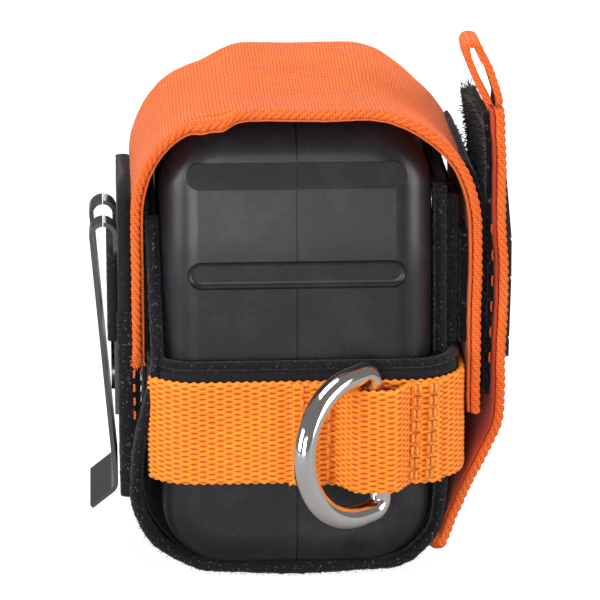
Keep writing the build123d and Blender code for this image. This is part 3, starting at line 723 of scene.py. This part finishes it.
def make_strap():
    """The top strap's two layers, its frayed sewn end and its braided rim."""
    path = strap_path(0.5)
    low, high = box_mm("strap")
    width = high.y - low.y
    section = band_section(width, 0.75, cloth_thickness, 70)
    outer = swept("strap_outer", "strap_cloth", path, Y, section, strap_sag)
    across_fold(outer, "pouch", "top_strap", *strap_fold, ("strap_anchor", "strap"), "orange_fabric")
    section = band_section(width - 1.4, 0.0, 0.55, 40)
    inner = swept("strap_inner", "hem_cloth", shifted(path, Y * 0.7), Y, section, strap_sag)
    across_fold(inner, "pouch", "top_strap", *strap_fold, slot="orange_fabric")
    end = path[0]
    roots = []
    downwards = Vector((-0.5, -0.7, -1.0)).normalized()
    for number in range(70):
        left = -0.4 - 1.5 * (number * 0.37 % 1)
        back = 0.2 + 1.8 * (number * 0.61 % 1) ** 2 * 3
        up = 0.4 + 2.2 * (number * 0.73 % 1)
        roots.append((end + Vector((left, back, up)), downwards))
    fray = fibres("strap_fray", "hem_cloth", roots, 1.9, 0.11, 0.9, 15)
    settle(fray, "pouch", ())
    rim = twisted_edge("strap_rim", strap_path(0.3), rim_lift, 0.35, wave=strap_sag)
    across_fold(rim, "pouch", "top_strap", *strap_fold, slot="orange_fabric")


# ---------------------------------------------------------------- cover flap

flap_fold = ((26.0, 0, 4.5), (31.0, 0, 13.0))


def flap_path(step):
    """The inner face of the flap at its near edge, from its top down round the heel to its sewn hem."""
    flap_low, flap_high = box_mm("flap")
    _, hem_high = box_mm("flap_hem")
    near = flap_low.y
    knee = flap_high.x - cloth_thickness
    corners = [
        (knee - 1.2, near, flap_high.z),
        (knee, near, 60),
        (knee - 0.6, near, 30),
        (knee - 6.4, near, 17.5),
        (hem_high.x - 2.6, near, hem_high.z - 2.4),
    ]
    return rounded_path(corners, [10, 10, 10], step)


def flap_sway(distance, lift, across, point, normal):
    """Small waves along the flap, and the lean of its far upper corner towards the case."""
    share = across / full_flap_width
    lean = -0.9 * share * smooth_step(point.z, 71, 91)
    wave = 0.45 * wander(Vector((distance, across * 0.4, 0)), 0.07, 21) + 0.12 * wander(point, 0.35, 23)
    edge_wave = 0.4 * wander(Vector((distance, 0, 5)), 0.1, 27) * (1 - share)
    return normal * (wave * (1 - 0.5 * share) + lean) + Y * edge_wave


def flap_cloth_sway(distance, lift, across, point, normal):
    """The flap's own sway, with its top edge falling away behind the hook tape."""
    fall = -6.0 * smooth_step(across, 3, 14) * smooth_step(point.z, 76, 89.5)
    return flap_sway(distance, lift, across, point, normal) + Z * fall


def make_flap():
    """The cover flap's two layers, its rolled hem and its braided rim."""
    path = flap_path(0.5)
    low, high = box_mm("flap")
    width = high.y - low.y
    section = band_section(width, 0.65, cloth_thickness, 60)
    outer = swept("flap_outer", "strap_cloth", path, Y, section, flap_cloth_sway)
    across_fold(outer, "pouch", "cover_flap", *flap_fold, ("flap_hem", "flap"), "orange_fabric")
    section = band_section(width - 0.6, 0.0, 0.5, 36)
    # painted shade: the inner layer wears a darkened copy of the orange cloth
    inner = swept("flap_inner", "shaded_flap_lining", shifted(path, Y * 0.3), Y, section, flap_cloth_sway)
    across_fold(inner, "pouch", "cover_flap", *flap_fold, slot="orange_fabric")
    foot = path[-1]
    hem = even_points([foot + Y * (width * share) for share in (0, 0.25, 0.5, 0.75, 1)], 0.6)
    section = round_section(1.55, 1.75, 20, -0.2, 0.9)
    roll = swept("flap_hem_roll", "hem_cloth", hem, X, section, fuzzy(0.12, 29))
    settle(roll, "pouch", ())
    rim = twisted_edge("flap_rim", flap_path(0.3), rim_lift, 0.3, wave=flap_sway)
    across_fold(rim, "pouch", "cover_flap", *flap_fold, slot="orange_fabric")


def make_pull_tab():
    """A folded loop of narrow tape sewn to the top of the flap, leaning in towards the case."""
    low, high = box_mm("pull_tab")
    _, flap_high = box_mm("flap")
    root = Vector((flap_high.x - cloth_thickness / 2 - 1.2, low.y + 1.5, flap_high.z - 1.2))
    steps = [
        (-0.6, -3.0),
        (-0.7, 0.4),
        (-2.9, 4.6),
        (-4.9, 9.4),
        (-5.5, 12.2),
        (-3.2, 12.2),
        (-2.5, 9.9),
        (-1.0, 7.6),
        (0.1, 4.4),
        (0.9, 1.8),
        (0.5, -3.0),
    ]
    corners = [root + X * along + Z * up for along, up in steps]
    path = rounded_path(corners, [1.5, 4, 4, 0.9, 0.9, 1.2, 2, 3, 1.5], 0.3)
    section = band_section(high.y - low.y - 2, -0.62, 0.62, 20)
    tape = swept("pull_tab_tape", "strap_cloth", path, Y, section)
    settle(tape, "cover_flap", ("pull_tab",))
    rim = twisted_edge("pull_tab_rim", path, 0, 0.3, radius=0.38, twist=0.34, pitch=4.0)
    settle(rim, "cover_flap", ())


# ---------------------------------------------------------------- sling

sling_half_width = 25.55
sling_floor = 2.4
sling_corner = 12.95
sling_left_top = 70.05
sling_right_top = 75.5
far_edge = 21.6
fine_step = 0.35


def sling_path(step):
    """The inner face of the sling from its right top, down and under the case, to its left top."""
    corners = [
        (sling_half_width, 0, sling_right_top),
        (sling_half_width, 0, sling_floor),
        (-sling_half_width, 0, sling_floor),
        (-sling_half_width, 0, sling_left_top),
    ]
    return rounded_path(corners, [sling_corner, sling_corner], step)


def cloth_wave(size):
    """Slack in a cloth panel."""

    def wave(distance, lift, across, point, normal):
        return normal * (size * wander(point, 0.13, 31) + 0.3 * size * wander(point, 0.9, 33))

    return wave


def fuzzy(size, seed):
    """Uneven brushed surface."""

    def shake(distance, lift, across, point, normal):
        coarse = 0.6 * wander(point, 0.8, seed)
        fine = wander(point, 2.6, seed + 3)
        along = size * 0.6 * wander(point, 2.2, seed + 5)
        return normal * (size * (coarse + fine)) + Y * along

    return shake


def leaning(size, seed, inset):
    """A brushed surface that leans with the flap; inset is its distance behind the near edge."""
    shake = fuzzy(size, seed) if size else None

    def change(distance, lift, across, point, normal):
        fall = Z * (-4.0 * smooth_step(across, 22, 36) * smooth_step(point.z, 74, 90))
        lean = flap_sway(distance, lift, across + inset, point, normal) + fall
        return lean + shake(distance, lift, across, point, normal) if shake else lean

    return change


def sling_flare(size):
    """The shell's small waves, and its slack lower left corner that bulges outwards."""
    wave = cloth_wave(size)

    def change(distance, lift, across, point, normal):
        bulge = hump(point.z, 19, 11) * (1 - smooth_step(point.y, -33, -10))
        outward = -X * (2.3 * bulge if point.x < -20 else 0)
        return wave(distance, lift, across, point, normal) + outward

    return change


def make_sling():
    """The two layers of the sling, its rolled bindings and the folded edges behind the strap."""
    low, high = box_mm("sling_shell")
    path = shifted(sling_path(0.7), Y * low.y)
    width = high.y - low.y
    section = band_section(width, 0.95, 2.4, 40)
    shell = swept("sling_outside", "panel_cloth", path, Y, section, sling_flare(0.1))
    settle(shell, "pouch", ("sling_shell",))
    section = band_section(width, 0.05, 0.9, 40)
    lining = swept("sling_inside", "panel_cloth", path, Y, section, sling_flare(0.05))
    settle(lining, "pouch", ("sling_lining",))
    rear = swept(
        "binding_far",
        "binding",
        shifted(sling_path(fine_step), Y * far_edge),
        Y,
        round_section(1.45, 1.6, 22, 1.2, 0),
        fuzzy(0.16, 41),
    )
    settle(rear, "pouch", ("sling_binding_far",))
    outline = [
        (26.6, -35.4, sling_right_top),
        (26.9, -35.4, 44),
        (27.4, -36.2, 20),
        (26.4, -36.2, 9.0),
        (20.5, -36.2, 2.6),
        (0, -36.2, 1.6),
        (-18.4, -36.2, 2.6),
        (-26.6, -36.4, 7.6),
        (-30.0, -37.2, 15.5),
        (-29.3, -39.4, 27),
        (-25.6, -39.8, 42.6),
        (-26.4, -35.4, sling_left_top),
    ]
    line = rounded_path(outline, [40, 30, 9, 9, 60, 12, 9, 12, 30, 20], fine_step)
    near = swept("binding_near", "binding", line, Y, round_section(1.2, 1.9, 22), fuzzy(0.2, 43))
    settle(near, "pouch", ("sling_binding_near",))
    hairs_along("binding_hairs", "fibre", "pouch", line, 1.3, 1300, 0.55, 3)
    fold = rounded_path([(-28.1, -34.6, 73), (-28.1, -34.8, 60), (-28.4, -35.4, 44)], [60], fine_step)
    roll = swept("left_ridge", "binding", fold, Y, round_section(0.95, 1.5, 18), fuzzy(0.2, 45))
    settle(roll, "pouch", ())
    hairs_along("left_ridge_hairs", "binding", "pouch", fold, 0.9, 520, 0.6, 11)
    ridge = [(29.0, -34.0, sling_right_top - 2.5), (29.1, -34.0, 60), (29.0, -34.0, 45.4)]
    line = rounded_path(ridge, [60], fine_step)
    piece = swept("side_ridge", "binding", line, Y, round_section(1.0, 1.9, 18), fuzzy(0.2, 47))
    settle(piece, "pouch", ())
    line = rounded_path([(x, -34.6, z) for x, _, z in ridge], [60], fine_step)
    hairs_along("side_ridge_hairs", "binding", "pouch", line, 1.2, 560, 0.8, 9)


# ---------------------------------------------------------------- front band, webbing and ring loop


band_left = -25.55
band_front = -42.45
band_right = 27.95
band_corner = 7.05
band_left_end = -35.2
band_right_end = -15.45
webbing_offset = 2.85
webbing_thickness = 1.15
webbing_step = 0.28


def band_path(offset, near_left, step, z):
    """A line round the front of the sling at a distance outside the band's inner face."""
    left, front, right = band_left - offset, band_front - offset, band_right + offset
    corners = [(left, near_left, z), (left, front, z), (right, front, z), (right, band_right_end, z)]
    return rounded_path(corners, [band_corner + offset, band_corner + offset], step)


column_width = 1.6
float_height = 1.0


def dash_depth(distance, across):
    """How deep a point is in the slit between two floats, and how near it is to a float's crown."""
    column = round(distance / column_width)
    beside = math.cos(math.pi * (distance / column_width - column))
    row = across / float_height + 0.5 * (column % 2)
    from_dash = (row - round(row)) * float_height
    slit = math.exp(-((from_dash / 0.15) ** 2)) * max(0.0, beside) ** 0.7
    crown = -math.cos(2 * math.pi * row) * beside
    return slit, crown


def float_rise(distance, across):
    """Height of the woven surface, from 0 in the slits to 1 on the crown of a float."""
    slit, crown = dash_depth(distance, across)
    return max(0.0, 0.72 + 0.28 * crown - 0.72 * slit)


def webbing_change(width, depth):
    """Raises floats on both faces of a webbing strip and scallops its edges."""

    def change(distance, lift, across, point, normal):
        rise = float_rise(distance, across)
        inside = smooth_step(across, 0.2, 0.9) * (1 - smooth_step(across, width - 0.9, width - 0.2))
        sign = 1 if lift > 0 else -1
        scallop = 0.16 * math.cos(2 * math.pi * distance / column_width)
        edge = (1 - inside) * (1 if across > width / 2 else -1)
        wave = 0.12 * wander(point, 0.16, 51)
        return normal * (sign * depth * (rise - 0.6) * inside + wave) + Z * (scallop * edge)

    return change


def webbing_hollow(width):
    # how deep a point lies between the floats, which sets the painted shade there
    def hollow(distance, lift, across):
        inside = smooth_step(across, 0.0, 0.6) * (1 - smooth_step(across, width - 0.6, width))
        return (1 - smooth_step(float_rise(distance, across), 0.05, 0.75)) * inside

    return hollow


def webbing_strip(name, path, width, thickness):
    """A strip of heavy webbing with each float modelled."""
    cells = round(width / 0.125)
    section = band_section(width, -thickness / 2, thickness / 2, cells, back_cells=24)
    change = webbing_change(width, 0.34)
    return swept(name, "webbing", path, Z, section, change, webbing_hollow(width))


def make_front():
    """Front band with its piping, the webbing over it, and the sewn loop that holds the ring."""
    low, high = box_mm("front_band")
    band = swept(
        "front_band_cloth",
        "panel_cloth",
        band_path(1.1, band_left_end, 0.7, low.z),
        Z,
        band_section(high.z - low.z, -1.05, 0.9, 20),
        cloth_wave(0.08),
    )
    settle(band, "pouch", ("front_band",))
    pipe_low, pipe_high = box_mm("band_piping")
    middle = (pipe_low.z + pipe_high.z) / 2
    line = band_path(1.1, band_left_end, 0.3, middle)
    piping = swept("band_piping_roll", "binding", line, Z, round_section(1.15, 0.85, 18), fuzzy(0.12, 61))
    settle(piping, "pouch", ("band_piping",))
    web_low, web_high = box_mm("front_webbing")
    width = web_high.z - web_low.z
    whole = band_path(webbing_offset, -36.5, webbing_step, web_low.z)
    line = [point for point in whole if point.x > 0 or point.y < -40.3]
    strip = webbing_strip("front_webbing_strip", line, width, webbing_thickness)
    settle(strip, "pouch", ("front_webbing",))
    base = -46.05 - 0.62
    crown = -51.35 - 0.7
    corners = [
        (-1.8, base, web_low.z),
        (7.2, base, web_low.z),
        (10.6, crown, web_low.z),
        (17.4, crown, web_low.z),
        (20.2, base, web_low.z),
        (32.2, base, web_low.z),
        (32.2, -22, web_low.z),
    ]
    whole = rounded_path(corners, [2.2, 2.4, 2.4, 1.0, 11.2], webbing_step)
    path = [point for point in whole if point.x < 26.4]
    loop = webbing_strip("ring_loop_strip", path, width, webbing_thickness)
    settle(loop, "pouch", ("ring_loop",))
    rows = []
    for x, stand, lean in (
        (0.3, 1.1, 0),
        (5.4, 1.1, 0),
        (21.0, 1.15, -0.4),
        (21.9, 1.1, -0.4),
        (24.0, 0.6, -0.5),
        (24.9, 0.35, -0.5),
    ):
        out = Vector((0.35 if x > 23 else 0, -1, 0)).normalized()
        upper = Vector((x + 0.3, base - stand, web_high.z - 0.3))
        lower = Vector((x + lean, base - stand, web_low.z + 0.4))
        rows.append(([upper, lower], out))
    sewing = stitches("loop_stitches", "thread_orange", rows, 1.6, 0.75, 0.36)
    settle(sewing, "pouch", ())
    line = band_path(1.1, band_left_end, 0.3, middle)
    hairs_along("band_piping_hairs", "fibre", "pouch", line, 0.8, 420, 0.7, 5)


# ---------------------------------------------------------------- hook and loop, carrier and cover


def upright_strip(name, material, low, high, change, cells_up, cells_across):
    """A soft pad standing in the plane square to X, between two corners."""
    height = high.z - low.z
    ends = [Vector((low.x, low.y, high.z)), Vector((low.x, low.y, low.z))]
    path = even_points(ends, height / cells_up)
    section = band_section(high.y - low.y, 0.0, high.x - low.x, cells_across)
    return swept(name, material, path, Y, section, change)


tape_inset = 3.5
hook_rows = 62
hook_columns = 34
loop_count = 900


def make_hook_and_loop():
    """Both faces of the fastening: pile on the sling and the strap, hooks on the flap."""
    for name, node, body, size in (
        ("side_loop_pile", "side_loop_patch", "pouch", 0.22),
        ("strap_hook_tape", "strap_hook_patch", "top_strap", 0.15),
    ):
        low, high = box_mm(node)
        pile = upright_strip(name, "hook_tape", low, high, fuzzy(size, 71), 60, 60)
        settle(pile, body, (node,))
    low, high = box_mm("strap_loop_patch")
    path = [point for point in strap_path(0.5) if point.x > 20 and 35.5 < point.z < 78]
    path = shifted(path, Y * (low.y - path[0].y))
    section = band_section(high.y - low.y, 2.25, 3.15, 60)
    pile = swept("strap_loop_pile", "hook_tape", path, Y, section, fuzzy(0.2, 75))
    settle(pile, "top_strap", ("strap_loop_patch",))
    low, high = box_mm("flap_hook_patch")
    path = [point for point in flap_path(0.7) if 33.5 < point.z < 88.6]
    path = shifted(path, Y * (low.y - path[0].y))
    width = high.y - low.y + 2.6
    section = band_section(width, -1.1, -0.12, 60)
    pile = swept("flap_hook_tape", "hook_tape", path, Y, section, leaning(0.2, 81, tape_inset))
    settle(pile, "cover_flap", ("flap_hook_patch",))
    sway = leaning(0, 81, tape_inset)
    roots = []
    for row in range(hook_rows):
        index = int(row * (len(path) - 1) / (hook_rows - 1) * 0.999)
        for column in range(hook_columns):
            across = 0.2 + column * (width - 0.3) / (hook_columns - 1)
            point = path[index] + Y * across
            point = point + sway(0, -1.0, across, point, X)
            spread = Vector((0, wander(point, 3.1, 91), wander(point, 3.7, 93))) * 0.9
            tilt = Z * (1.6 if row < 4 else 0) + Y * (2.5 if column > 29 else 0)
            roots.append((point + spread - X * 0.9, (-X + tilt).normalized()))
    hooks = fibres("flap_hooks", "fibre", roots, 1.5, 0.085, 0.8, 5)
    settle(hooks, "cover_flap", ())
    line = [point for point in flap_path(0.5) if 38 < point.z < 68]
    rows = [(shifted(line, Y * 1.4 - X * 0.5), (-X - Y).normalized())]
    sewing = stitches("flap_stitches", "hem_cloth", rows, 1.9, 2.9, 0.17, 0.15)
    settle(sewing, "cover_flap", ())
    low, high = box_mm("strap_loop_patch")
    line = [point for point in strap_path(0.5) if point.x > 20 and 36 < point.z < 77]
    roots = []
    for number in range(loop_count):
        spot = line[int(number * (len(line) - 1) / loop_count)] + X * 3.0
        across = (low.y - spot.y) + (high.y - low.y) * (number * 0.618 % 1)
        tip = Z * (1.6 if spot.z > 72 else 0)
        roots.append((spot + Y * across, (X + tip).normalized()))
    loops = fibres("strap_loops", "fibre", roots, 1.2, 0.08, 0.9, 21)
    settle(loops, "top_strap", ())


def hairs_along(name, material, body, path, radius, count, length, seed):
    """Loose fibres all round a rolled edge."""
    roots = []
    for number in range(count):
        index = int((number + 0.5) * (len(path) - 1) / count)
        tangent = (path[index + 1] - path[index]).normalized()
        turn = 6.28 * (number * 0.618 % 1)
        first = tangent.orthogonal().normalized()
        out = first * math.cos(turn) + tangent.cross(first) * math.sin(turn)
        roots.append((path[index] + out * radius, out))
    piece = fibres(name, material, roots, length, 0.05, 0.9, seed)
    settle(piece, body, ())


def make_carrier():
    """The padded panel behind the belt clip, its rolled near edge and the pad over its fixing."""
    low, high = box_mm("clip_carrier")
    carrier = upright_strip("carrier_pad", "panel_cloth", low, high, fuzzy(0.12, 101), 60, 40)
    settle(carrier, "pouch", ("clip_carrier",))
    edge = even_points([Vector((-30.9, low.y + 0.8, 51)), Vector((-30.7, low.y + 0.8, low.z + 4))], 0.4)
    hem = swept("carrier_hem", "binding", edge, Y, round_section(2.1, 1.7, 18), fuzzy(0.2, 105))
    settle(hem, "pouch", ())
    loose = [point + X * 0.9 - Y * 1.7 for point in edge if 29 < point.z < 45.5]
    rows = [(loose, (X * 0.4 - Y).normalized())]
    thread = stitches("strap_thread", "hem_cloth", rows, 1.5, 1.3, 0.24)
    settle(thread, "pouch", ())
    low, high = box_mm("clip_cover")
    cover = upright_strip("clip_cover_pad", "panel_cloth", low, high, fuzzy(0.15, 103), 30, 40)
    settle(cover, "pouch", ("clip_cover",))


# ---------------------------------------------------------------- hard parts kept from the model

hard_parts = {
    "case_left": "case_plastic",
    "case_right": "case_plastic",
    "case_screws": "zinc_steel",
    "spindle": "zinc_steel",
    "reel_drum": "inner_plastic",
    "blade_coil": "blade_paint",
    "return_spring": "spring_steel",
    "blade": "blade_paint",
    "hook_rivets": "zinc_steel",
    "end_hook": "zinc_steel",
    "lock_slider": "lock_plastic",
    "lock_retainer": "inner_plastic",
    "d_ring": "nickel",
    "clip_plate": "spring_steel",
    "clip_arm": "spring_steel",
    "clip_rivets": "dark_rivet",
    "moulded_patch": "moulded_rubber",
}


def finish_hard_parts():
    """Gives the rigid CAD nodes their materials."""
    for node, finish in hard_parts.items():
        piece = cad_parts[node]
        for slot in piece.material_slots:
            slot.material = materials[finish]
        if not piece.material_slots:
            piece.data.materials.append(materials[finish])


add_camera()
add_stage()
make_strap()
make_sling()
make_front()
make_flap()
make_pull_tab()
make_hook_and_loop()
make_carrier()
finish_hard_parts()
